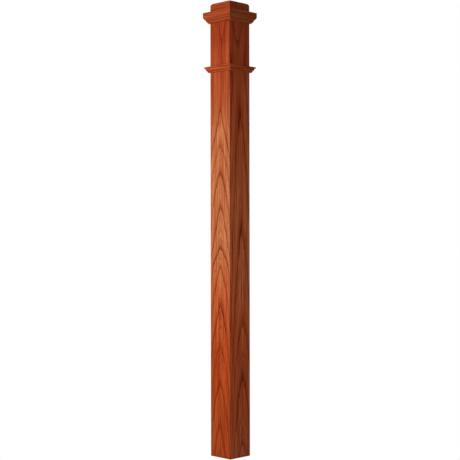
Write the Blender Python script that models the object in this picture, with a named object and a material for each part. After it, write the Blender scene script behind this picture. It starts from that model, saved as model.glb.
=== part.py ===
"""Box newel post: a hollow square shaft of four mitred boards, a cap block and two mitred mouldings.

The post stands on its foot, with its origin at the middle of the foot, and its faces look along X and Y.
"""

import math

import bmesh
import bpy
from mathutils import Matrix, Vector

# Driving dimensions, in metres
POST_HEIGHT = 1.4478  # 57 in, from the foot to the top of the cap block
SHAFT_WIDTH = 0.0889  # 3-1/2 in across the flats
BOARD_THICKNESS = 0.01905  # 3/4 in
ARRIS_EASE = 0.0008  # flat that takes the sharpness off each long outer corner where it shows
HIDDEN_EASE = 0.0001  # what is left of it behind a moulding, whose mitres close on a full corner
EASE_RUN_OUT = 0.0015  # height over which the one runs out into the other
JOINT_CLEARANCE = 0.0003  # left between pieces that touch

CAP_REVEAL = 0.0302  # how much of the cap block stands above its moulding
CAP_OVERLAP = 0.0175  # how far the block goes down behind the moulding
CAP_ROUNDOVER = 0.009525  # 3/8 in radius of the block's top edges
ROUNDOVER_STEPS = 8

CAP_FASCIA_HEIGHT = 0.0157  # the flat upright band at the top of the cap moulding
CAP_FASCIA_PROJECTION = 0.0167  # how far that band stands out from the shaft
CAP_OVOLO_HEIGHT = 0.0099
CAP_OVOLO_FOOT = 0.0106  # projection where the ovolo meets the quirk
CAP_BEAD_HEIGHT = 0.0093
CAP_BEAD_HEAD = 0.0104  # projection at the top of the bead

NECK_HEIGHT = 0.1387  # plain shaft between the two mouldings

COLLAR_LIP_HEIGHT = 0.0045
COLLAR_LIP_PROJECTION = 0.0143
COLLAR_OVOLO_HEIGHT = 0.0088
COLLAR_OVOLO_HEAD = 0.0113  # projection just under the lip
COLLAR_OVOLO_FOOT = 0.0083
COLLAR_BEAD_HEIGHT = 0.0053
COLLAR_BEAD_HEAD = 0.0079

MOULDING_TOE = 0.0035  # projection of both mouldings at their lower edge
QUIRK_DEPTH = 0.0012  # the narrow groove between ovolo and bead
QUIRK_HEIGHT = 0.0010
CAP_OVOLO_BULGE = 0.04  # rise of each rounded stretch, as a share of its chord
COLLAR_OVOLO_BULGE = 0.10
BEAD_BULGE = 0.04
CURVE_STEPS = 6

# Sizes that follow from the driving ones
HALF_SHAFT = SHAFT_WIDTH / 2
BLOCK_HEIGHT = CAP_REVEAL + CAP_OVERLAP
BOARD_LENGTH = POST_HEIGHT - BLOCK_HEIGHT - JOINT_CLEARANCE
CAP_MOULDING_HEIGHT = CAP_FASCIA_HEIGHT + CAP_OVOLO_HEIGHT + CAP_BEAD_HEIGHT
CAP_MOULDING_FOOT = POST_HEIGHT - CAP_REVEAL - CAP_MOULDING_HEIGHT
COLLAR_HEIGHT = COLLAR_LIP_HEIGHT + COLLAR_OVOLO_HEIGHT + COLLAR_BEAD_HEIGHT
COLLAR_TOP = CAP_MOULDING_FOOT - NECK_HEIGHT
COLLAR_FOOT = COLLAR_TOP - COLLAR_HEIGHT
CAP_MOULDING_TOP = POST_HEIGHT - CAP_REVEAL

# The four sides in order, each with the turn about Z that brings it round from the front, which faces -Y
SIDES = {"front": 0, "right": 90, "back": 180, "left": 270}


def clear_scene():
    for thing in list(bpy.data.objects):
        bpy.data.objects.remove(thing, do_unlink=True)


def wood(name, colour, roughness=0.42):
    material = bpy.data.materials.new(name)
    material.use_nodes = True
    shader = material.node_tree.nodes["Principled BSDF"]
    shader.inputs["Base Color"].default_value = (*colour, 1.0)
    shader.inputs["Roughness"].default_value = roughness
    shader.inputs["Metallic"].default_value = 0.0
    return material


def add_object(name, shape, material, turn_degrees=0):
    """Make an object of a bmesh, turned about the post's middle line."""
    shape.transform(Matrix.Rotation(math.radians(turn_degrees), 4, "Z"))
    bmesh.ops.recalc_face_normals(shape, faces=shape.faces)
    mesh = bpy.data.meshes.new(name)
    shape.to_mesh(mesh)
    shape.free()
    mesh.materials.append(material)
    piece = bpy.data.objects.new(name, mesh)
    bpy.context.collection.objects.link(piece)
    return piece


def loft(rings):
    """A closed solid through rings of equal length, with a face over each end."""
    shape = bmesh.new()
    loops = [[shape.verts.new(point) for point in ring] for ring in rings]
    count = len(loops[0])
    for low, high in zip(loops, loops[1:]):
        for i in range(count):
            j = (i + 1) % count
            shape.faces.new((low[i], low[j], high[j], high[i]))
    shape.faces.new(loops[0])
    shape.faces.new(loops[-1])
    return shape


def board(name, turn_degrees, material):
    """One side of the shaft: its long edges are mitred, and its outer corners are eased where they show."""
    outer, inner = HALF_SHAFT, HALF_SHAFT - BOARD_THICKNESS
    mitre_gap = JOINT_CLEARANCE / math.sqrt(2)
    levels = [
        (0.0, ARRIS_EASE),
        (COLLAR_FOOT, ARRIS_EASE),
        (COLLAR_FOOT + EASE_RUN_OUT, HIDDEN_EASE),
        (COLLAR_TOP - EASE_RUN_OUT, HIDDEN_EASE),
        (COLLAR_TOP, ARRIS_EASE),
        (CAP_MOULDING_FOOT, ARRIS_EASE),
        (CAP_MOULDING_FOOT + EASE_RUN_OUT, HIDDEN_EASE),
        (BOARD_LENGTH, HIDDEN_EASE),
    ]
    rings = []
    for z, ease in levels:
        half = [
            (outer - ease - mitre_gap, -outer),
            (outer - ease / 2 - mitre_gap, -outer + ease / 2),
            (inner - mitre_gap, -inner),
        ]
        section = half + [(-x, y) for x, y in reversed(half)]
        rings.append([Vector((x, y, z)) for x, y in section])
    return add_object(name, loft(rings), material, turn_degrees)


def cap_block(name, material):
    """The block on the board ends, with its four top edges rounded over."""
    foot = POST_HEIGHT - BLOCK_HEIGHT
    shoulder = POST_HEIGHT - CAP_ROUNDOVER
    levels = [
        (foot, HALF_SHAFT, HIDDEN_EASE),
        (CAP_MOULDING_TOP - EASE_RUN_OUT, HALF_SHAFT, HIDDEN_EASE),
        (CAP_MOULDING_TOP, HALF_SHAFT, ARRIS_EASE),
    ]
    for step in range(ROUNDOVER_STEPS + 1):
        angle = math.radians(90) * step / ROUNDOVER_STEPS
        inset = CAP_ROUNDOVER * (1 - math.cos(angle))
        levels.append((shoulder + CAP_ROUNDOVER * math.sin(angle), HALF_SHAFT - inset, ARRIS_EASE))
    rings = []
    for z, half, ease in levels:
        cut = half - ease
        corners = [(cut, -half), (half, -cut), (half, cut), (cut, half)]
        corners += [(-x, -y) for x, y in corners]
        rings.append([Vector((x, y, z)) for x, y in corners])
    return add_object(name, loft(rings), material)


def bulged(start, end, bulge, steps):
    """Points on a circular arc from start to end, swollen away from the shaft, without the start itself."""
    start, end = Vector(start), Vector(end)
    chord = end - start
    rise = bulge * chord.length
    radius = (chord.length_squared / 4 + rise**2) / (2 * rise)
    outward = Vector((-chord.y, chord.x)).normalized()
    centre = (start + end) / 2 - outward * (radius - rise)
    sweep = 2 * math.asin(chord.length / (2 * radius))
    first = start - centre
    points = []
    for step in range(1, steps + 1):
        turn = Matrix.Rotation(-sweep * step / steps, 2)
        points.append(tuple(centre + turn @ first))
    return points


def cap_profile():
    """(projection, height) points down the cap moulding's face, then up its back."""
    top = CAP_MOULDING_HEIGHT
    fascia_foot = top - CAP_FASCIA_HEIGHT
    points = [(CAP_FASCIA_PROJECTION, top), (CAP_FASCIA_PROJECTION, fascia_foot)]
    ovolo_foot = (CAP_OVOLO_FOOT, CAP_BEAD_HEIGHT + QUIRK_HEIGHT)
    points += bulged(points[-1], ovolo_foot, CAP_OVOLO_BULGE, CURVE_STEPS)
    return points + quirk_and_bead(CAP_BEAD_HEAD, CAP_BEAD_HEIGHT) + back_of_moulding(top)


def collar_profile():
    """(projection, height) points down the collar's face, then up its back."""
    top = COLLAR_HEIGHT
    lip_foot = top - COLLAR_LIP_HEIGHT
    points = [(COLLAR_LIP_PROJECTION, top), (COLLAR_LIP_PROJECTION, lip_foot)]
    points.append((COLLAR_OVOLO_HEAD, lip_foot))
    ovolo_foot = (COLLAR_OVOLO_FOOT, COLLAR_BEAD_HEIGHT + QUIRK_HEIGHT)
    points += bulged(points[-1], ovolo_foot, COLLAR_OVOLO_BULGE, CURVE_STEPS)
    return points + quirk_and_bead(COLLAR_BEAD_HEAD, COLLAR_BEAD_HEIGHT) + back_of_moulding(top)


def quirk_and_bead(bead_head, bead_height):
    groove = bead_head - QUIRK_DEPTH
    points = [(groove, bead_height + QUIRK_HEIGHT), (groove, bead_height), (bead_head, bead_height)]
    return points + bulged(points[-1], (MOULDING_TOE, 0.0), BEAD_BULGE, CURVE_STEPS)


def back_of_moulding(top):
    return [(JOINT_CLEARANCE, 0.0), (JOINT_CLEARANCE, top)]


def moulding(name, turn_degrees, profile, foot, material):
    """One length of moulding along a face of the post, mitred at both ends."""
    mitre_gap = JOINT_CLEARANCE / math.sqrt(2)
    rings = []
    for end in (-1, 1):
        ring = []
        for projection, height in profile:
            reach = HALF_SHAFT + projection
            ring.append(Vector((end * (reach - mitre_gap), -reach, foot + height)))
        rings.append(ring)
    return add_object(name, loft(rings), material, turn_degrees)


def main():
    clear_scene()
    board_wood = wood("stained_oak_boards", (0.42, 0.13, 0.05))
    block_wood = wood("stained_oak_block", (0.36, 0.09, 0.03))
    moulding_wood = wood("stained_oak_mouldings", (0.38, 0.10, 0.035))

    for side, turn in SIDES.items():
        board(f"{side}_board", turn, board_wood)
    cap_block("cap_block", block_wood)
    for side, turn in SIDES.items():
        moulding(f"{side}_cap_moulding", turn, cap_profile(), CAP_MOULDING_FOOT, moulding_wood)
    for side, turn in SIDES.items():
        moulding(f"{side}_collar_moulding", turn, collar_profile(), COLLAR_FOOT, moulding_wood)


main()
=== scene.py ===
"""A box newel post in red-stained oak, finished over its packed model.

Four mitred boards round a hollow, a cap block, and two mouldings of four mitred lengths each. Each kind of
piece has its own operator, and every piece has its own grain and a satin varnish. Lengths are metres, and the
grain is worked out in millimetres.
"""

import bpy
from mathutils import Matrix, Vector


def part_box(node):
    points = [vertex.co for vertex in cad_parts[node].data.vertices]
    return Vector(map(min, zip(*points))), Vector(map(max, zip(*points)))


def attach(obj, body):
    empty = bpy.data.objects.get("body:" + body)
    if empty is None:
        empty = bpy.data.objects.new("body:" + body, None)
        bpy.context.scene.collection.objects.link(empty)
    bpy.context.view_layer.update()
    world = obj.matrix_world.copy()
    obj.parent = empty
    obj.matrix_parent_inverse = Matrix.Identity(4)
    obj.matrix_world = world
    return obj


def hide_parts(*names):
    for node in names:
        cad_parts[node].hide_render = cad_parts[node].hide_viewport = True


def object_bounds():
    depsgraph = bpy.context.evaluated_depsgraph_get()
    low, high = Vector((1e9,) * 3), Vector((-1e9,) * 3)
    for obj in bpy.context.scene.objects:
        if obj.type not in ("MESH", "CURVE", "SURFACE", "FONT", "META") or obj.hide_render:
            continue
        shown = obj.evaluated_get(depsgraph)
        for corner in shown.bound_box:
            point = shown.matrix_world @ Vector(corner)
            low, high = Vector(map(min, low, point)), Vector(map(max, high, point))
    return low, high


bl_info = {
    "name": "Box newel post",
    "version": (1, 0, 0),
    "blender": (4, 5, 0),
    "location": "3D View > Sidebar > Newel post",
    "description": "Makes a stained oak box newel post over its packed model",
    "category": "Add Mesh",
}

import math

import bmesh
import bpy
from bpy.props import FloatProperty, FloatVectorProperty, IntProperty, PointerProperty
from mathutils import Euler, Matrix, Vector

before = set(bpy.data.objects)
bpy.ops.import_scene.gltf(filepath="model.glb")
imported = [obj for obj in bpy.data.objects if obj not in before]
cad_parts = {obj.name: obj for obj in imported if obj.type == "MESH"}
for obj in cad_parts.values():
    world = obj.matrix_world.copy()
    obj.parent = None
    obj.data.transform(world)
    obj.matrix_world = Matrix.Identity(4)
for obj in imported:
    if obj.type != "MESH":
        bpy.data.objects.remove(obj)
CAD_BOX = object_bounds()

BOARD_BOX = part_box("front_board")
BLOCK_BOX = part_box("cap_block")
CAP_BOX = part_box("front_cap_moulding")
COLLAR_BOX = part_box("front_collar_moulding")

MM = 0.001
HALF_SHAFT = -BOARD_BOX[0].y
POST_TOP = CAD_BOX[1].z

HIDDEN_RADIUS = 0.1 * MM  # what is left of an arris radius behind a moulding
CORNER_FLAT = 0.4 * MM  # strip beside a rounded corner that keeps the face next to it flat
BACK_GAP = 0.1 * MM  # between a moulding's back and the shaft
FLOOR_DROP = 0.2 * MM  # how far the studio floor lies under the foot
SHARP_DEGREES = 38  # edges that turn by more than this are shaded sharp
BLUNT_DEGREES = 155  # corners of an outline blunter than this stay as they are
CORNER_STEPS = 8  # facets in each upright corner of the block
FLOOR_STEPS = 96  # corners round the studio floor

# The turn about Z that brings each side round from the front, which faces -Y
SIDES = {"front": 0, "right": 90, "back": 180, "left": 270}

# Where growth rings cross the middle line of each board's arched figure: (height in millimetres, ring). The
# arches point up where the number climbs and down where it falls. Front and right follow the photograph.
RING_CLIMB = {
    "front": [
        (0, -0.7), (106, 0.0), (237, 1.0), (358, 2.0), (485, 3.0), (605, 4.0), (672, 5.0), (799, 6.0),
        (905, 7.0), (990, 8.0), (1100, 9.0), (1160, 9.02), (1300, 8.98), (1337, 8.88), (1385, 8.5),
        (1448, 7.4),
    ],
    "right": [
        (0, -0.3), (50, 0.0), (253, 1.0), (434, 2.0), (729, 3.0), (1107, 4.0), (1200, 4.3), (1270, 4.25),
        (1332, 3.92), (1386, 3.60), (1448, 3.2),
    ],
    "back": [
        (0, 0.3), (120, 1.0), (310, 2.0), (420, 3.0), (560, 4.0), (760, 5.0), (850, 6.0), (1020, 7.0),
        (1190, 8.0), (1320, 9.0), (1448, 9.7),
    ],
    "left": [
        (0, 4.4), (190, 3.7), (430, 3.1), (620, 2.9), (790, 3.2), (980, 4.0), (1140, 5.0), (1270, 6.0),
        (1448, 7.2),
    ],
}

# Where that line lies across each board: (height in millimetres, millimetres from the board's middle)
RING_MIDDLE = {
    "front": [(0, -2), (600, 0), (1100, 1), (1300, 6), (1448, 8)],
    "right": [(0, 12), (450, 11), (750, 5), (1070, -1), (1310, -11), (1448, -14)],
    "back": [(0, 8), (700, 3), (1448, -4)],
    "left": [(0, -10), (900, -6), (1448, -12)],
}

# How the rings fall away on either side of it: rings for each millimetre and each square millimetre across
RING_SPREAD = {
    "front": (0.024, 0.00016),
    "right": (0.012, 0.00035),
    "back": (0.016, 0.00050),
    "left": (0.012, 0.00080),
}

# How strongly the rings show along each board: (height in millimetres, share)
RING_STRENGTH = {
    "front": [(0, 0.8), (330, 0.8), (450, 1.0), (1030, 1.0), (1120, 0.7), (1230, 0.45), (1448, 0.5)],
    "right": [(0, 1.0), (900, 0.8), (1200, 0.8), (1320, 0.65), (1448, 0.7)],
    "back": [(0, 0.8), (1448, 0.8)],
    "left": [(0, 0.7), (1448, 0.8)],
}

# Dark mineral smears: height, place across, lean across for each millimetre up, half height, half width and
# strength
SMEARS = {
    "front": [(450, -1, 0.0, 24, 7, 0.16), (1075, 0, 0.02, 44, 6, 0.14)],
    "right": [(722, 3, 0.14, 46, 6, 0.24), (1074, 0, 0.12, 46, 6, 0.26), (503, -22, 0.10, 26, 6, 0.16),
              (975, 17, 0.04, 58, 5, 0.18)],
    "back": [(640, 6, -0.05, 32, 6, 0.12)],
    "left": [(380, -10, 0.06, 36, 6, 0.12)],
}

# How the stain took along each board, with painted shade: (height in millimetres, how much darker). Front and
# right were fitted to the photograph, and so were their two rows of fading. The darkening towards the tops of
# the front and right boards is painted shade, where less light falls there.
STAIN_TAKE_AND_SHADE = {
    "front": [(0, -0.06), (130, -0.07), (250, -0.03), (360, -0.06), (740, -0.05), (900, 0.01), (1040, 0.03),
              (1160, 0.15), (1270, 0.14), (1335, 0.26), (1448, 0.27)],
    "right": [(0, -0.02), (150, 0.09), (300, 0.06), (580, 0.02), (740, 0.0), (820, 0.06), (900, 0.05),
              (1040, 0.11), (1160, 0.15), (1230, 0.17), (1260, 0.26), (1300, 0.22), (1448, 0.20)],
    "back": [(0, 0.03), (500, -0.01), (900, 0.02), (1448, 0.04)],
    "left": [(0, 0.04), (400, 0.0), (1000, 0.02), (1448, 0.03)],
}

# Where it has faded towards yellow along each board: (height in millimetres, share). The paler, yellower band
# at mid-height of the front board is partly fading and partly painted sheen from the key light.
STAIN_FADE_AND_SHEEN = {
    "front": [(0, 0.0), (260, 0.0), (420, 0.16), (500, 0.24), (580, 0.43), (650, 0.66), (740, 0.78),
              (900, 0.80), (1040, 0.76), (1160, 0.45), (1310, 0.22), (1448, 0.2)],
    "right": [(0, 0.4), (260, 0.3), (420, 0.33), (580, 0.46), (900, 0.46), (1040, 0.38), (1310, 0.38),
              (1448, 0.3)],
    "back": [(0, 0.15), (600, 0.43), (900, 0.33), (1448, 0.1)],
    "left": [(0, 0.2), (700, 0.52), (1100, 0.33), (1448, 0.1)],
}

# For each length of moulding: how much darker, the share that has faded, and how much darker its quirk and
# its foot are, from stain gathered there and from painted shade in the groove and along the foot
MOULDING_STAIN_AND_SHADE = {
    "cap": {
        "front": (0.18, 0.37, 1.0),
        "right": (0.27, 0.90, 0.1),
        "back": (0.20, 0.50, 0.6),
        "left": (0.22, 0.40, 0.8),
    },
    "collar": {
        "front": (0.19, 0.40, 0.15),
        "right": (0.12, 0.50, 0.0),
        "back": (0.16, 0.40, 0.3),
        "left": (0.18, 0.30, 0.3),
    },
}


class BoardSizes(bpy.types.PropertyGroup):
    """Fine sizes of the four boards of the shaft."""

    arris: FloatProperty(
        name="Arris radius", description="Radius sanded on the long outer corners",
        default=1.35 * MM, min=0.1 * MM, unit="LENGTH", subtype="DISTANCE")
    undercut: FloatProperty(
        name="Mitre undercut",
        description="How far a mitre is cut back at its inner edge, so that its outside closes",
        default=0.10 * MM, min=0.0, unit="LENGTH", subtype="DISTANCE")
    run_out: FloatProperty(
        name="Arris run-out", description="Height over which the radius dies away behind a moulding",
        default=1.5 * MM, unit="LENGTH", subtype="DISTANCE")
    thickness: FloatProperty(
        name="Thickness", description="Thickness of a board",
        default=BOARD_BOX[1].y - BOARD_BOX[0].y, unit="LENGTH", subtype="DISTANCE")
    foot_ease: FloatProperty(
        name="Foot ease", description="Splinter edge taken off round the sawn foot",
        default=0.5 * MM, unit="LENGTH", subtype="DISTANCE")
    steps: IntProperty(
        name="Arris steps", description="Facets in half of an arris", default=4, min=1)


class BlockSizes(bpy.types.PropertyGroup):
    """Fine sizes of the cap block."""

    roundover: FloatProperty(
        name="Roundover", description="Radius of the top edges",
        default=9.525 * MM, unit="LENGTH", subtype="DISTANCE")
    arris: FloatProperty(
        name="Arris radius", description="Radius sanded on the upright corners",
        default=1.35 * MM, unit="LENGTH", subtype="DISTANCE")
    foot_ease: FloatProperty(
        name="Foot ease", description="Splinter edge taken off round the hidden foot",
        default=0.4 * MM, unit="LENGTH", subtype="DISTANCE")
    margin: FloatProperty(
        name="Roundover margin", description="Strip above and below the roundover that keeps the faces flat",
        default=0.5 * MM, unit="LENGTH", subtype="DISTANCE")
    steps: IntProperty(
        name="Roundover steps", description="Facets in the roundover", default=16, min=2)


class MouldingSizes(bpy.types.PropertyGroup):
    """Section of the two mouldings, as projections from the shaft and heights."""

    fascia: FloatProperty(
        name="Cap fascia", description="Height of the flat band at the top of the cap moulding",
        default=15.7 * MM, unit="LENGTH", subtype="DISTANCE")
    cap_ovolo_foot: FloatProperty(
        name="Cap ovolo foot", description="Projection where the cap moulding's ovolo meets its quirk",
        default=10.6 * MM, unit="LENGTH", subtype="DISTANCE")
    cap_bead: FloatProperty(
        name="Cap bead", description="Height of the bead at the foot of the cap moulding",
        default=9.3 * MM, unit="LENGTH", subtype="DISTANCE")
    cap_bead_head: FloatProperty(
        name="Cap bead head", description="Projection at the top of that bead",
        default=10.4 * MM, unit="LENGTH", subtype="DISTANCE")
    lip: FloatProperty(
        name="Collar lip", description="Height of the flat lip at the top of the collar moulding",
        default=4.5 * MM, unit="LENGTH", subtype="DISTANCE")
    collar_ovolo_head: FloatProperty(
        name="Collar ovolo head", description="Projection just under the lip",
        default=11.3 * MM, unit="LENGTH", subtype="DISTANCE")
    collar_ovolo_foot: FloatProperty(
        name="Collar ovolo foot", description="Projection where the collar's ovolo meets its quirk",
        default=8.3 * MM, unit="LENGTH", subtype="DISTANCE")
    collar_bead: FloatProperty(
        name="Collar bead", description="Height of the bead at the foot of the collar moulding",
        default=5.3 * MM, unit="LENGTH", subtype="DISTANCE")
    collar_bead_head: FloatProperty(
        name="Collar bead head", description="Projection at the top of that bead",
        default=7.9 * MM, unit="LENGTH", subtype="DISTANCE")
    toe: FloatProperty(
        name="Toe", description="Projection of both mouldings at their lower edge",
        default=3.5 * MM, unit="LENGTH", subtype="DISTANCE")
    quirk_depth: FloatProperty(
        name="Quirk depth", description="Depth of the narrow groove above each bead",
        default=1.2 * MM, unit="LENGTH", subtype="DISTANCE")
    quirk_height: FloatProperty(
        name="Quirk height", description="Height of that groove",
        default=1.0 * MM, unit="LENGTH", subtype="DISTANCE")
    cap_bulge: FloatProperty(
        name="Cap ovolo bulge", description="Rise of the cap's ovolo, as a share of its chord",
        default=0.04, min=0.01)
    collar_bulge: FloatProperty(
        name="Collar ovolo bulge", description="Rise of the collar's ovolo, as a share of its chord",
        default=0.10, min=0.01)
    bead_bulge: FloatProperty(
        name="Bead bulge", description="Rise of each bead, as a share of its chord", default=0.04, min=0.01)
    edge: FloatProperty(
        name="Edge radius", description="Radius worn on the moulding's sharp edges",
        default=0.45 * MM, unit="LENGTH", subtype="DISTANCE")
    joint: FloatProperty(
        name="Mitre joint", description="Hairline left at each mitred corner",
        default=0.02 * MM, unit="LENGTH", subtype="DISTANCE")
    steps: IntProperty(
        name="Curve steps", description="Facets in each rounded stretch", default=10, min=2)


class StainColours(bpy.types.PropertyGroup):
    """Colours of the stained wood, from the palest to the pores, and of the bare wood inside."""

    pale: FloatVectorProperty(
        name="Pale wood", description="Smooth latewood that took little stain",
        default=(0.558, 0.107, 0.0227), subtype="COLOR", size=3, min=0, max=1)
    body: FloatVectorProperty(
        name="Body", description="The stain's usual colour",
        default=(0.360, 0.0446, 0.0071), subtype="COLOR", size=3, min=0, max=1)
    figure: FloatVectorProperty(
        name="Figure", description="Earlywood of the growth rings",
        default=(0.247, 0.0211, 0.0026), subtype="COLOR", size=3, min=0, max=1)
    pore: FloatVectorProperty(
        name="Pores", description="Stain gathered in the open pores",
        default=(0.070, 0.0056, 0.00085), subtype="COLOR", size=3, min=0, max=1)
    faded: FloatVectorProperty(
        name="Fading", description="What each part of the colour is multiplied by where the stain has faded",
        default=(1.0, 2.31, 4.7), size=3, min=0, max=8)
    bare: FloatVectorProperty(
        name="Bare wood", description="Unfinished oak inside the hollow",
        default=(0.520, 0.350, 0.200), subtype="COLOR", size=3, min=0, max=1)
    varnish: FloatProperty(
        name="Varnish roughness", description="Roughness of the satin varnish", default=0.40, min=0.05, max=1)
    coat: FloatProperty(
        name="Varnish coat", description="Weight of the varnish's clear coat", default=0.04, min=0, max=1)


class StudioSizes(bpy.types.PropertyGroup):
    """Camera, floor and lights."""

    distance: FloatProperty(
        name="Camera distance", description="From the post's middle line", default=3.455, unit="LENGTH")
    height: FloatProperty(
        name="Camera height", description="Above the floor", default=0.704, unit="LENGTH")
    azimuth: FloatProperty(
        name="Camera azimuth", description="Turn from the front towards the right side",
        default=math.radians(45), subtype="ANGLE")
    roll: FloatProperty(
        name="Camera roll", description="Small tilt of the picture",
        default=math.radians(-0.09), subtype="ANGLE")
    lens: FloatProperty(name="Lens", description="Focal length in millimetres", default=84.4)
    rise: FloatProperty(name="Vertical shift", description="Share of the picture's side", default=0.0128)
    aside: FloatProperty(name="Sideways shift", description="Share of the picture's side", default=-0.0004)
    floor: FloatProperty(
        name="Floor radius", description="Radius of the round pale floor", default=1.2, unit="LENGTH")
    pale: FloatProperty(name="Floor paleness", description="Light that the floor gives back", default=0.3)
    key: FloatProperty(
        name="Key light", description="Power of the softbox before the front board", default=23.0)
    fill: FloatProperty(
        name="Fill light", description="Power of the weak softbox on the right", default=10.0)
    back: FloatProperty(
        name="Back light", description="Power of the weak softbox behind the post", default=9.0)
    under: FloatProperty(
        name="Under light", description="Power of the light below the open foot", default=1.5)
    overhead: FloatProperty(
        name="Overhead light", description="Strength of the broad light above", default=1.2)
    ambient: FloatProperty(name="Ambient", description="Strength of the room's own light", default=0.04)


class Term:
    """A number on a socket. Operators add Math nodes, so a formula is written as it reads."""

    def __init__(self, graph, socket):
        self.graph, self.socket = graph, socket

    def math(self, operation, *values):
        return self.graph.term("ShaderNodeMath", {"operation": operation}, dict(enumerate(values)))

    def __add__(self, other):
        return self.math("ADD", self, other)

    def __sub__(self, other):
        return self.math("SUBTRACT", self, other)

    def __rsub__(self, other):
        return self.math("SUBTRACT", other, self)

    def __mul__(self, other):
        return self.math("MULTIPLY", self, other)

    def __truediv__(self, other):
        return self.math("DIVIDE", self, other)

    def __abs__(self):
        return self.math("ABSOLUTE", self)

    __radd__ = __add__
    __rmul__ = __mul__

    def floor(self):
        return self.math("FLOOR", self)

    def square(self):
        return self * self

    def root(self):
        return self.math("SQRT", self)

    def ease(self, start, end):
        """0 at start, 1 at end and beyond, with a smooth slope between; start may be the larger."""
        return self.graph.term(
            "ShaderNodeMapRange", {"interpolation_type": "SMOOTHSTEP"},
            {"Value": self, "From Min": start, "From Max": end})


class Graph:
    """Builds a node tree, for a shader or for geometry."""

    def __init__(self, tree):
        self.tree = tree

    def node(self, kind, settings=None, inputs=None):
        """Add a node: its settings first, then the values or links of its sockets."""
        made = self.tree.nodes.new(kind)
        for name, value in (settings or {}).items():
            if name == "stops":
                lay_stops(made.color_ramp, value)
            elif name == "knots":
                lay_knots(made.mapping, value)
            else:
                setattr(made, name, value)
        for name, value in (inputs or {}).items():
            self.feed(made.inputs[name], value)
        return made

    def feed(self, socket, value):
        value = value.socket if isinstance(value, Term) else value
        if isinstance(value, bpy.types.NodeSocket):
            self.tree.links.new(value, socket)
        else:
            socket.default_value = value

    def term(self, kind, settings=None, inputs=None, output=0):
        return Term(self, self.node(kind, settings, inputs).outputs[output])


def lay_stops(ramp, stops):
    """Set a colour ramp to (position, colour) stops."""
    for element in list(ramp.elements)[1:]:
        ramp.elements.remove(element)
    first, *others = stops
    ramp.elements[0].position, ramp.elements[0].color = first[0], (*first[1], 1.0)
    for position, colour in others:
        ramp.elements.new(position).color = (*colour, 1.0)


def lay_knots(mapping, knots):
    """Set a float curve to points between 0 and 1."""
    points = mapping.curves[0].points
    points[0].location, points[-1].location = knots[0], knots[-1]
    for x, y in knots[1:-1]:
        points.new(x, y)
    for point in points:
        point.handle_type = "AUTO_CLAMPED"
    mapping.update()


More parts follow.
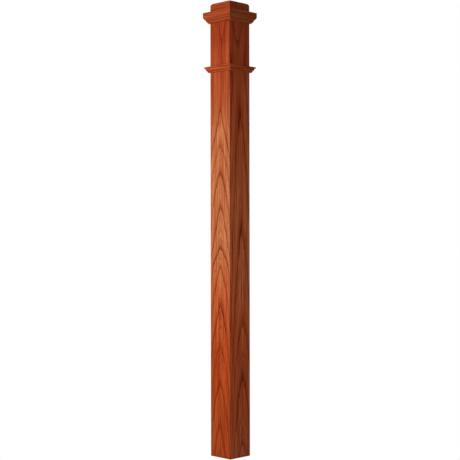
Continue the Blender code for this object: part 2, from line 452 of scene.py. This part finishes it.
class Oak(Graph):
    """The wood of one stick: its grain runs along Z in a board and along X in the block and the mouldings.

    x, y and z are millimetres in the stick's own frame, which is turned with its side so that its face looks
    along -y, and depth is how far a point lies behind that face.
    """

    def __init__(self, name, side, seed, upright):
        self.material = bpy.data.materials.new(name)
        self.material.use_nodes = True
        super().__init__(self.material.node_tree)
        self.seed, self.upright = seed, upright
        self.coordinates = self.node("ShaderNodeTexCoord")
        self.place = self.node(
            "ShaderNodeMapping", None,
            {"Vector": self.coordinates.outputs["Object"], "Rotation": (0.0, 0.0, math.radians(-SIDES[side])),
             "Scale": (1 / MM,) * 3}).outputs[0]
        axes = self.node("ShaderNodeSeparateXYZ", None, {0: self.place})
        self.x, self.y, self.z = (Term(self, socket) for socket in axes.outputs)
        self.depth = self.y + HALF_SHAFT / MM

    def grain(self, across, into, along, salt, detail=0.0):
        """Noise between 0 and 1, with cells of these millimetres across, into and along the stick."""
        cell = (across, into, along) if self.upright else (along, into, across)
        shift = Vector((7.3, 3.7, 5.1)) * (self.seed * 3.0 + salt * 1.7)
        stretched = self.node(
            "ShaderNodeVectorMath", {"operation": "MULTIPLY_ADD"},
            {0: self.place, 1: [1 / size for size in cell], 2: shift})
        return self.term(
            "ShaderNodeTexNoise", None,
            {"Vector": stretched.outputs[0], "Scale": 1.0, "Detail": detail, "Roughness": 0.5})

    def along_board(self, knots, low, high):
        """A value between low and high read off a curve of (height in millimetres, value) along a board."""
        height = POST_TOP / MM
        scaled = [(z / height, (value - low) / (high - low)) for z, value in knots]
        curve = self.term("ShaderNodeFloatCurve", {"knots": scaled}, {"Value": self.z / height})
        return curve * (high - low) + low

    def finish(self, rings, strength, take, fade, bare, colours):
        """Colour, varnish and relief.

        rings counts the growth rings and strength is how much they show. take says how much darker the wood
        is, from the stain and from painted shade, fade how far the stain has faded, with painted sheen, and
        bare is 1 where it never came.
        """
        wander = self.grain(26, 34, 190, 1, 1.0) - 0.5
        jitter = self.grain(5, 7, 55, 2, 1.0) - 0.5
        count = rings + wander * 0.40 + jitter * 0.16
        ring = count.floor()
        part = count - ring
        lot = self.term("ShaderNodeTexWhiteNoise", {"noise_dimensions": "1D"}, {"W": ring + self.seed * 10.0})

        early = part.ease(0.0, 0.025) * part.ease(0.36, 0.04)
        fine = count * 4 + jitter * 0.5
        thread = fine.floor()
        inside = fine - thread
        share = self.term(
            "ShaderNodeTexWhiteNoise", {"noise_dimensions": "1D"}, {"W": thread + self.seed * 20.0 + 0.5})
        threads = inside.ease(0.0, 0.15) * inside.ease(0.75, 0.15) * share
        bands = early * (lot * 0.5 + 0.5) * strength + threads * 0.45
        pores = self.grain(0.34, 0.34, 9, 3).ease(0.60, 0.72) * (early * 0.8 + 0.2)
        rays = self.grain(0.42, 11, 15, 4).ease(0.66, 0.76)
        broad = self.grain(11, 15, 260, 8, 1.0) - 0.5
        streaks = self.grain(3.1, 5, 150, 5, 1.0) - 0.5
        hairs = self.grain(1.0, 1.6, 90, 6, 1.0) - 0.5
        clouds = self.grain(34, 40, 170, 7, 1.0) - 0.5
        shade = (take + 0.245 + bands * 0.42 + pores * 0.30 + rays * 0.10
                 + broad * 0.18 + streaks * 0.88 + hairs * 0.26 + clouds * 0.16)

        stain = self.node(
            "ShaderNodeValToRGB",
            {"stops": [
                (0.0, colours.pale), (0.34, colours.body), (0.64, colours.figure), (1.0, colours.pore)]},
            {"Fac": shade}).outputs[0]
        tint = self.node("ShaderNodeMix", {"data_type": "RGBA"}, {
            0: fade, 6: (1.0, 1.0, 1.0, 1.0), 7: (*colours.faded, 1.0)}).outputs[2]
        stained = self.node("ShaderNodeVectorMath", {"operation": "MULTIPLY"}, {0: stain, 1: tint}).outputs[0]
        light, dark = Vector(colours.bare), Vector(colours.bare) * 0.45
        unstained = self.node(
            "ShaderNodeValToRGB", {"stops": [(0.2, light), (0.9, dark)]}, {"Fac": shade}).outputs[0]
        shader = self.tree.nodes["Principled BSDF"]
        self.feed(shader.inputs["Base Color"], self.node(
            "ShaderNodeMix", {"data_type": "RGBA"}, {0: bare, 6: stained, 7: unstained}).outputs[2])
        self.feed(shader.inputs["Roughness"], (
            pores * 0.22 + hairs * 0.10 + clouds * 0.06 + colours.varnish) * (1 - bare) + bare * 0.85)
        self.feed(shader.inputs["Coat Weight"], (1 - pores * 0.6) * (1 - bare) * colours.coat)
        relief = 0.5 - pores * 0.5 - early * 0.12 + hairs * 0.25 + streaks * 0.12
        self.feed(shader.inputs["Normal"], self.node(
            "ShaderNodeBump", None, {"Strength": 0.5, "Distance": 0.12 * MM, "Height": relief}).outputs[0])
        shader.inputs["Specular IOR Level"].default_value = 0.06
        shader.inputs["Coat Roughness"].default_value = 0.28
        return self.material


def board_oak(side, seed, colours):
    """Flat-sawn oak for a board, with the arched figure of its growth rings."""
    oak = Oak(f"stained oak {side} board", side, seed, upright=True)
    slope, swell = RING_SPREAD[side]
    middle = oak.along_board(RING_MIDDLE[side], -20.0, 20.0)
    drift = (oak.grain(400, 400, 220, 11) - 0.5) * 5
    off = ((oak.x - middle + drift).square() + 6).root() - math.sqrt(6)
    climb = oak.along_board(RING_CLIMB[side], -1.0, 10.0)
    rings = climb + 0.1 + off * slope + off.square() * swell + off.square().square() * 1.2e-7 - oak.depth / 5
    strength = oak.along_board(RING_STRENGTH[side], 0.0, 1.0)
    # The stain's take along the board, with painted shade towards the tops of the front and right boards
    take = oak.along_board(STAIN_TAKE_AND_SHADE[side], -0.3, 0.3)
    in_from_edge = HALF_SHAFT / MM - abs(oak.x)
    # Darker within a few millimetres of each arris, partly stain gathered at the edge and partly painted
    # shade where the rounded arris turns from the light, and darker along the bottom of the foot
    take = take + in_from_edge.ease(3.6, 0.2) * 0.16 + oak.z.ease(4.5, 0.5) * 0.24
    take = take + (in_from_edge - oak.depth).ease(0.24, 0.08) * 0.3
    for height, across, lean, half_height, half_width, depth in SMEARS[side]:
        up = oak.z - height
        aside = (oak.x - across - up * lean) / half_width
        take = take + (aside.square() + (up / half_height).square()).ease(1.0, 0.0) * depth
    bare = (oak.depth + (oak.grain(4, 4, 12, 12) - 0.5) * 2.5).ease(1.2, 2.2)
    # The stain's fading along the board, with painted sheen at mid-height of the front board
    return oak.finish(rings, strength, take, oak.along_board(STAIN_FADE_AND_SHEEN[side], 0.0, 1.0), bare, colours)


def length_oak(name, side, seed, heart, colours):
    """Oak with its grain along x, and its count of rings. heart is the tree's middle, in y and z."""
    oak = Oak(name, side, seed, upright=False)
    drift = (oak.grain(300, 300, 120, 11) - 0.5) * 8
    sideways, upward = oak.y - heart[0] + drift, oak.z - heart[1]
    return oak, (sideways.square() + upward.square()).root() / 4.2 + oak.x * 0.004


def block_oak(colours, foot):
    """Oak for the cap block: darker on its end grain, with painted shade towards its top edges, and bare
    underneath.
    """
    oak, rings = length_oak("stained oak cap block", "front", 9, (52.0, POST_TOP / MM + 34), colours)
    normal = oak.node("ShaderNodeSeparateXYZ", None, {0: oak.coordinates.outputs["Normal"]})
    ends = abs(Term(oak, normal.outputs[0])).ease(0.35, 0.95)
    # Painted shade towards the top edges of the block
    rim_shade = (oak.z - POST_TOP / MM).ease(-4.0, -0.6)
    take = ends * 0.33 + rim_shade * 0.12 + 0.085
    bare = oak.z.ease(foot + 0.8, foot)
    return oak.finish(rings, 0.8 - ends * 0.4, take, ends * 0.78 + 0.22, bare, colours)


def loft(rings):
    """A closed shell through rings of equal length, with a face over each end."""
    shape = bmesh.new()
    loops = [[shape.verts.new(point) for point in ring] for ring in rings]
    for low, high in zip(loops, loops[1:]):
        for i, corner in enumerate(low):
            j = (i + 1) % len(low)
            shape.faces.new((corner, low[j], high[j], high[i]))
    shape.faces.new(loops[0])
    shape.faces.new(loops[-1])
    return shape


def as_mesh(name, shape, turn=0):
    """Turn a shape to its side, point its faces outwards and make it a mesh."""
    shape.transform(Matrix.Rotation(math.radians(turn), 4, "Z"))
    bmesh.ops.recalc_face_normals(shape, faces=shape.faces)
    mesh = bpy.data.meshes.new(name)
    shape.to_mesh(mesh)
    shape.free()
    return mesh


def add_piece(name, mesh, node):
    """Put a finished mesh in the scene, where it stands for its packed node."""
    mesh.shade_smooth()
    mesh.set_sharp_from_angle(angle=math.radians(SHARP_DEGREES))
    piece = bpy.data.objects.new(name, mesh)
    bpy.context.scene.collection.objects.link(piece)
    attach(piece, "root")
    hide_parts(node)


def board_section(outer, inner, radius, undercut, steps):
    """One board's section: rounded outer arrises that stop at the mitres, then the mitres to the inside."""
    centre = outer - radius
    half = [Vector((centre - CORNER_FLAT, -outer))]
    for step in range(steps + 1):
        angle = math.radians(45) * step / steps
        half.append(Vector((centre + radius * math.sin(angle), -centre - radius * math.cos(angle))))
    half.append(Vector((inner - undercut, -inner)))
    return half + [Vector((-point.x, point.y)) for point in reversed(half)]


def softened(outline, radius, steps=4):
    """A closed outline with its sharp corners rounded, and a point beside each that keeps the flats flat."""
    soft = []
    for before, corner, after in zip(outline[-1:] + outline[:-1], outline, outline[1:] + outline[:1]):
        back, ahead = before - corner, after - corner
        opening = back.angle(ahead)
        if opening > math.radians(BLUNT_DEGREES):
            soft.append(corner)
            continue
        reach = min(radius / math.tan(opening / 2), 0.4 * back.length, 0.4 * ahead.length)
        start, end = corner + back.normalized() * reach, corner + ahead.normalized() * reach
        soft.append(corner + back.normalized() * reach * 1.2)
        for step in range(steps + 1):
            share = step / steps
            soft.append(start.lerp(corner, share).lerp(corner.lerp(end, share), share))
        soft.append(corner + ahead.normalized() * reach * 1.2)
    return soft


def swollen(start, end, bulge, steps):
    """Points on a circular arc from start to end, swollen away from the shaft, without the start itself."""
    chord = end - start
    rise = bulge * chord.length
    radius = (chord.length_squared / 4 + rise**2) / (2 * rise)
    outward = Vector((-chord.y, chord.x)).normalized()
    centre = (start + end) / 2 - outward * (radius - rise)
    sweep = 2 * math.asin(chord.length / (2 * radius))
    turns = [Matrix.Rotation(-sweep * step / steps, 2) for step in range(1, steps + 1)]
    return [centre + turn @ (start - centre) for turn in turns]


def moulding_outline(head, ovolo, bulge, bead, bead_head, sizes):
    """A moulding's section as (projection, height): its head, its ovolo, a quirk, its bead and its back."""
    top = head[0].y
    groove = bead_head - sizes.quirk_depth
    points = list(head)
    points += swollen(points[-1], Vector((ovolo, bead + sizes.quirk_height)), bulge, sizes.steps)
    points += [Vector((groove, bead + sizes.quirk_height)), Vector((groove, bead)), Vector((bead_head, bead))]
    points += swollen(points[-1], Vector((sizes.toe, 0.0)), sizes.bead_bulge, sizes.steps)
    points += [Vector((BACK_GAP, 0.0)), Vector((BACK_GAP, top))]
    return softened(points, sizes.edge)


def moulding_tree():
    """Geometry nodes that run a section along one side of the post, mitre it, lift it and turn it there.

    The section is a mesh of edges at (reach from the middle line, minus height). It runs between -1 and 1,
    and each point is then drawn in to the mitre, at its own reach less the joint.
    """
    tree = bpy.data.node_groups.new("mitred moulding", "GeometryNodeTree")
    for name, kind in (("Section", "Geometry"), ("Foot height", "Float"), ("Joint", "Float"),
                       ("Turn", "Float"), ("Wood", "Material")):
        tree.interface.new_socket(name, in_out="INPUT", socket_type=f"NodeSocket{kind}")
    tree.interface.new_socket("Moulding", in_out="OUTPUT", socket_type="NodeSocketGeometry")
    graph = Graph(tree)
    given = graph.node("NodeGroupInput").outputs
    section = graph.node("GeometryNodeMeshToCurve", None, {"Mesh": given["Section"]})
    line = graph.node("GeometryNodeCurvePrimitiveLine", None, {"Start": (-1, 0, 0), "End": (1, 0, 0)})
    run = graph.node("GeometryNodeCurveToMesh", None, {
        "Curve": line.outputs[0], "Profile Curve": section.outputs[0], "Fill Caps": True})
    place = graph.node("ShaderNodeSeparateXYZ", None, {0: graph.node("GeometryNodeInputPosition").outputs[0]})
    x, y, z = (Term(graph, socket) for socket in place.outputs)
    mitred = graph.node("ShaderNodeCombineXYZ", None, {
        "X": x * (0 - y - given["Joint"]), "Y": y, "Z": z + given["Foot height"]})
    placed = graph.node("GeometryNodeSetPosition", None, {
        "Geometry": run.outputs[0], "Position": mitred.outputs[0]})
    turn = graph.node("FunctionNodeEulerToRotation", None, {
        0: graph.node("ShaderNodeCombineXYZ", None, {"Z": given["Turn"]}).outputs[0]})
    turned = graph.node("GeometryNodeTransform", None, {
        "Geometry": placed.outputs[0], "Rotation": turn.outputs[0]})
    real = graph.node("GeometryNodeRealizeInstances", None, {"Geometry": turned.outputs[0]})
    finished = graph.node("GeometryNodeSetMaterial", None, {
        "Geometry": real.outputs[0], "Material": given["Wood"]})
    graph.node("NodeGroupOutput", None, {"Moulding": finished.outputs[0]})
    return tree


def run_moulding(name, tree, outline, values):
    """Feed a section to the moulding tree and take its result as a plain mesh."""
    points = [(HALF_SHAFT + projection, -height, 0.0) for projection, height in outline]
    edges = [(i, (i + 1) % len(points)) for i in range(len(points))]
    section = bpy.data.meshes.new(f"{name} section")
    section.from_pydata(points, edges, [])
    carrier = bpy.data.objects.new(f"{name} section", section)
    bpy.context.scene.collection.objects.link(carrier)
    modifier = carrier.modifiers.new("Moulding", "NODES")
    modifier.node_group = tree
    for item in tree.interface.items_tree:
        if item.in_out == "INPUT" and item.name in values:
            modifier[item.identifier] = values[item.name]
    depsgraph = bpy.context.evaluated_depsgraph_get()
    made = bpy.data.meshes.new_from_object(carrier.evaluated_get(depsgraph))
    bpy.data.objects.remove(carrier)
    bpy.data.meshes.remove(section)
    shape = bmesh.new()
    shape.from_mesh(made)
    bmesh.ops.remove_doubles(shape, verts=shape.verts, dist=1e-7)
    bmesh.ops.recalc_face_normals(shape, faces=shape.faces)
    if not shape.faces or any(not edge.is_manifold for edge in shape.edges):
        raise RuntimeError(f"{name} is not a closed length of moulding")
    shape.to_mesh(made)
    shape.free()
    made.name = name
    return made


def lay_mouldings(kind, outline, foot, bead, scene):
    """Four mitred lengths round the post, with stain and painted shade darkening the quirk and the foot."""
    tree = bpy.data.node_groups.get("mitred moulding") or moulding_tree()
    gap = scene.newel_mouldings.joint / math.sqrt(2)
    for number, (side, turn) in enumerate(SIDES.items()):
        seed = number + (11 if kind == "cap" else 21)
        heart = (-HALF_SHAFT / MM + 70 + 9 * number, foot / MM - 22 + 13 * number)
        oak, rings = length_oak(f"stained oak {side} {kind} moulding", side, seed, heart, scene.newel_stain)
        take, fade, gathered = MOULDING_STAIN_AND_SHADE[kind][side]
        rise = oak.z - foot / MM
        # Darker in the quirk above the bead and along the foot: stain gathered there, and painted shade in
        # the groove
        stain_and_shade_lines = abs(rise - bead / MM - 0.5).ease(1.4, 0.5) * 0.34 + rise.ease(1.3, 0.4) * 0.26
        wood = oak.finish(rings, 0.8, stain_and_shade_lines * gathered + take, fade, 0.0, scene.newel_stain)
        name = f"oak_{side}_{kind}_moulding"
        mesh = run_moulding(name, tree, outline, {
            "Foot height": foot, "Joint": gap, "Turn": math.radians(turn), "Wood": wood})
        add_piece(name, mesh, f"{side}_{kind}_moulding")


class NEWEL_OT_boards(bpy.types.Operator):
    """Make the four mitred boards of the hollow shaft"""

    bl_idname = "newel.boards"
    bl_label = "Shaft boards"

    def execute(self, context):
        sizes = context.scene.newel_boards
        outer, inner = HALF_SHAFT, HALF_SHAFT - sizes.thickness
        full, none = sizes.arris, HIDDEN_RADIUS
        levels = [
            (BOARD_BOX[0].z, full, sizes.foot_ease),
            (BOARD_BOX[0].z + sizes.foot_ease, full, 0.0),
            (BOARD_BOX[0].z + 2 * sizes.foot_ease, full, 0.0),
            (COLLAR_BOX[0].z, full, 0.0),
            (COLLAR_BOX[0].z + sizes.run_out, none, 0.0),
            (COLLAR_BOX[1].z - sizes.run_out, none, 0.0),
            (COLLAR_BOX[1].z, full, 0.0),
            (CAP_BOX[0].z, full, 0.0),
            (CAP_BOX[0].z + sizes.run_out, none, 0.0),
            (BOARD_BOX[1].z, none, 0.0),
        ]
        for number, (side, turn) in enumerate(SIDES.items()):
            rings = []
            for z, radius, inset in levels:
                section = board_section(outer - inset, inner, radius, sizes.undercut, sizes.steps)
                rings.append([(point.x, point.y, z) for point in section])
            mesh = as_mesh(f"oak_{side}_board", loft(rings), turn)
            mesh.materials.append(board_oak(side, number + 1, context.scene.newel_stain))
            add_piece(f"oak_{side}_board", mesh, f"{side}_board")
        return {"FINISHED"}


class NEWEL_OT_cap_block(bpy.types.Operator):
    """Make the block on the board ends, with its rounded top edges"""

    bl_idname = "newel.cap_block"
    bl_label = "Cap block"

    def execute(self, context):
        sizes = context.scene.newel_block
        foot, shoulder = BLOCK_BOX[0].z, POST_TOP - sizes.roundover
        levels = [(foot, sizes.foot_ease), (foot + sizes.foot_ease, 0.0), (shoulder - sizes.margin, 0.0)]
        for step in range(sizes.steps + 1):
            angle = math.radians(90) * step / sizes.steps
            inset = sizes.roundover * (1 - math.cos(angle))
            levels.append((shoulder + sizes.roundover * math.sin(angle), inset))
        levels.append((POST_TOP, sizes.roundover + sizes.margin))
        rings = []
        for z, inset in levels:
            half = HALF_SHAFT - inset
            corner = half - sizes.arris
            quarter = [Vector((corner - CORNER_FLAT, -half))]
            for step in range(CORNER_STEPS + 1):
                angle = math.radians(90) * step / CORNER_STEPS
                across, along = sizes.arris * math.sin(angle), sizes.arris * math.cos(angle)
                quarter.append(Vector((corner + across, -corner - along)))
            quarter.append(Vector((half, -corner + CORNER_FLAT)))
            ring = []
            for turn in range(4):
                ring += [Matrix.Rotation(math.radians(90 * turn), 2) @ point for point in quarter]
            rings.append([(point.x, point.y, z) for point in ring])
        mesh = as_mesh("oak_cap_block", loft(rings))
        mesh.materials.append(block_oak(context.scene.newel_stain, foot / MM))
        add_piece("oak_cap_block", mesh, "cap_block")
        return {"FINISHED"}


class NEWEL_OT_cap_mouldings(bpy.types.Operator):
    """Make the four lengths of the tall moulding under the cap block"""

    bl_idname = "newel.cap_mouldings"
    bl_label = "Cap mouldings"

    def execute(self, context):
        sizes = context.scene.newel_mouldings
        projection, top = -CAP_BOX[0].y - HALF_SHAFT, CAP_BOX[1].z - CAP_BOX[0].z
        head = [Vector((projection, top)), Vector((projection, top - sizes.fascia))]
        outline = moulding_outline(
            head, sizes.cap_ovolo_foot, sizes.cap_bulge, sizes.cap_bead, sizes.cap_bead_head, sizes)
        lay_mouldings("cap", outline, CAP_BOX[0].z, sizes.cap_bead, context.scene)
        return {"FINISHED"}


class NEWEL_OT_collar_mouldings(bpy.types.Operator):
    """Make the four lengths of the smaller moulding on the shaft"""

    bl_idname = "newel.collar_mouldings"
    bl_label = "Collar mouldings"

    def execute(self, context):
        sizes = context.scene.newel_mouldings
        projection, top = -COLLAR_BOX[0].y - HALF_SHAFT, COLLAR_BOX[1].z - COLLAR_BOX[0].z
        head = [Vector((projection, top)), Vector((projection, top - sizes.lip)),
                Vector((sizes.collar_ovolo_head, top - sizes.lip))]
        outline = moulding_outline(
            head, sizes.collar_ovolo_foot, sizes.collar_bulge, sizes.collar_bead, sizes.collar_bead_head,
            sizes)
        lay_mouldings("collar", outline, COLLAR_BOX[0].z, sizes.collar_bead, context.scene)
        return {"FINISHED"}


def add_light(name, kind, place, aim, **settings):
    """A light at a place, turned to look at its aim."""
    data = bpy.data.lights.new(name, kind)
    for key, value in settings.items():
        setattr(data, key, value)
    light = bpy.data.objects.new(name, data)
    light.location = place
    light.rotation_euler = (Vector(aim) - Vector(place)).to_track_quat("-Z", "Y").to_euler()
    light.visible_camera = False
    bpy.context.scene.collection.objects.link(light)


def floor_mesh(radius, opening):
    """A round floor just under the post, with a square opening where the foot covers it."""
    corners = []
    for step in range(FLOOR_STEPS):
        angle = math.radians(360) * step / FLOOR_STEPS
        across, along = math.cos(angle), math.sin(angle)
        reach = opening / max(abs(across), abs(along))
        corners.append((reach * across, reach * along, -FLOOR_DROP))
        corners.append((radius * across, radius * along, -FLOOR_DROP))
    count = len(corners)
    faces = [(i, i + 1, (i + 3) % count, (i + 2) % count) for i in range(0, count, 2)]
    mesh = bpy.data.meshes.new("studio_floor")
    mesh.from_pydata(corners, [], faces)
    return mesh


class NEWEL_OT_studio(bpy.types.Operator):
    """Set the post on a plain pale floor, in soft light, in front of the camera"""

    bl_idname = "newel.studio"
    bl_label = "Studio"

    def execute(self, context):
        scene = context.scene
        sizes = scene.newel_studio

        floor = bpy.data.objects.new("studio_floor", floor_mesh(sizes.floor, HALF_SHAFT - 1.0 * MM))
        scene.collection.objects.link(floor)
        paint = bpy.data.materials.new("pale floor")
        paint.use_nodes = True
        graph = Graph(paint.node_tree)
        shader, output = (paint.node_tree.nodes[name] for name in ("Principled BSDF", "Material Output"))
        shader.inputs["Base Color"].default_value = (sizes.pale,) * 3 + (1.0,)
        shader.inputs["Roughness"].default_value = 0.9
        shader.inputs["Specular IOR Level"].default_value = 0.0
        white = graph.node("ShaderNodeEmission", None, {"Color": (1.0, 1.0, 1.0, 1.0), "Strength": 1.0})
        seen = graph.node("ShaderNodeLightPath").outputs["Is Camera Ray"]
        above = graph.node("ShaderNodeMixShader", None, {0: seen, 1: shader.outputs[0], 2: white.outputs[0]})
        clear = graph.node("ShaderNodeBsdfTransparent")
        below = graph.node("ShaderNodeNewGeometry").outputs["Backfacing"]
        graph.feed(output.inputs["Surface"], graph.node(
            "ShaderNodeMixShader", None, {0: below, 1: above.outputs[0], 2: clear.outputs[0]}).outputs[0])
        floor.data.materials.append(paint)

        world = bpy.data.worlds.new("studio")
        world.use_nodes = True
        scene.world = world
        graph = Graph(world.node_tree)
        room = world.node_tree.nodes["Background"]
        room.inputs["Color"].default_value = (1.0, 1.0, 1.0, 1.0)
        seen = graph.term("ShaderNodeLightPath", output="Is Camera Ray")
        graph.feed(room.inputs["Strength"], seen * (1.0 - sizes.ambient) + sizes.ambient)

        middle = (0.0, 0.0, POST_TOP / 2)
        add_light("key", "AREA", (-0.30, -1.25, 1.04), (0.0, 0.0, 1.04), energy=sizes.key,
                  shape="RECTANGLE", size=0.55, size_y=1.0)
        add_light("fill", "AREA", (1.50, 0.30, 0.90), (0.0, 0.0, 0.90), energy=sizes.fill,
                  shape="RECTANGLE", size=0.7, size_y=0.7)
        add_light("back", "AREA", (-1.00, 1.25, 0.90), (0.0, 0.0, 0.90), energy=sizes.back,
                  shape="RECTANGLE", size=0.7, size_y=1.0)
        add_light("under", "AREA", (0.0, 0.0, -0.60), (0.0, 0.0, 0.0), energy=sizes.under,
                  shape="RECTANGLE", size=0.3, size_y=0.3)
        add_light("overhead", "SUN", (0.0, 0.0, 4.0), middle, energy=sizes.overhead, angle=math.radians(60))

        data = bpy.data.cameras.new("camera")
        data.sensor_width, data.lens = 36.0, sizes.lens
        data.shift_x, data.shift_y = sizes.aside, sizes.rise
        data.clip_start, data.clip_end = 0.05, 100.0
        camera = bpy.data.objects.new("camera", data)
        camera.location = (
            sizes.distance * math.sin(sizes.azimuth), -sizes.distance * math.cos(sizes.azimuth), sizes.height)
        turn = Euler((math.radians(90), 0.0, sizes.azimuth)).to_matrix() @ Matrix.Rotation(sizes.roll, 3, "Z")
        camera.rotation_euler = turn.to_euler()
        scene.collection.objects.link(camera)
        scene.camera = camera
        scene.view_settings.view_transform = "Standard"
        return {"FINISHED"}


class NEWEL_PT_panel(bpy.types.Panel):
    """Lists the post's pieces and its sizes"""

    bl_idname = "NEWEL_PT_panel"
    bl_label = "Newel post"
    bl_space_type = "VIEW_3D"
    bl_region_type = "UI"
    bl_category = "Newel post"

    def draw(self, context):
        for operator in OPERATORS:
            self.layout.operator(operator.bl_idname)
        for attribute, group in GROUPS.items():
            box = self.layout.box()
            box.label(text=group.__doc__)
            for name in group.__annotations__:
                box.prop(getattr(context.scene, attribute), name)


OPERATORS = (
    NEWEL_OT_boards, NEWEL_OT_cap_block, NEWEL_OT_cap_mouldings, NEWEL_OT_collar_mouldings, NEWEL_OT_studio)
GROUPS = {
    "newel_boards": BoardSizes,
    "newel_block": BlockSizes,
    "newel_mouldings": MouldingSizes,
    "newel_stain": StainColours,
    "newel_studio": StudioSizes,
}
CLASSES = (*GROUPS.values(), *OPERATORS, NEWEL_PT_panel)


def register():
    for cls in CLASSES:
        bpy.utils.register_class(cls)
    for attribute, group in GROUPS.items():
        setattr(bpy.types.Scene, attribute, PointerProperty(type=group))


def unregister():
    for attribute in GROUPS:
        delattr(bpy.types.Scene, attribute)
    for cls in reversed(CLASSES):
        bpy.utils.unregister_class(cls)


def main():
    register()
    bpy.ops.newel.boards()
    bpy.ops.newel.cap_block()
    bpy.ops.newel.cap_mouldings()
    bpy.ops.newel.collar_mouldings()
    bpy.ops.newel.studio()


if __name__ == "__main__":
    main()
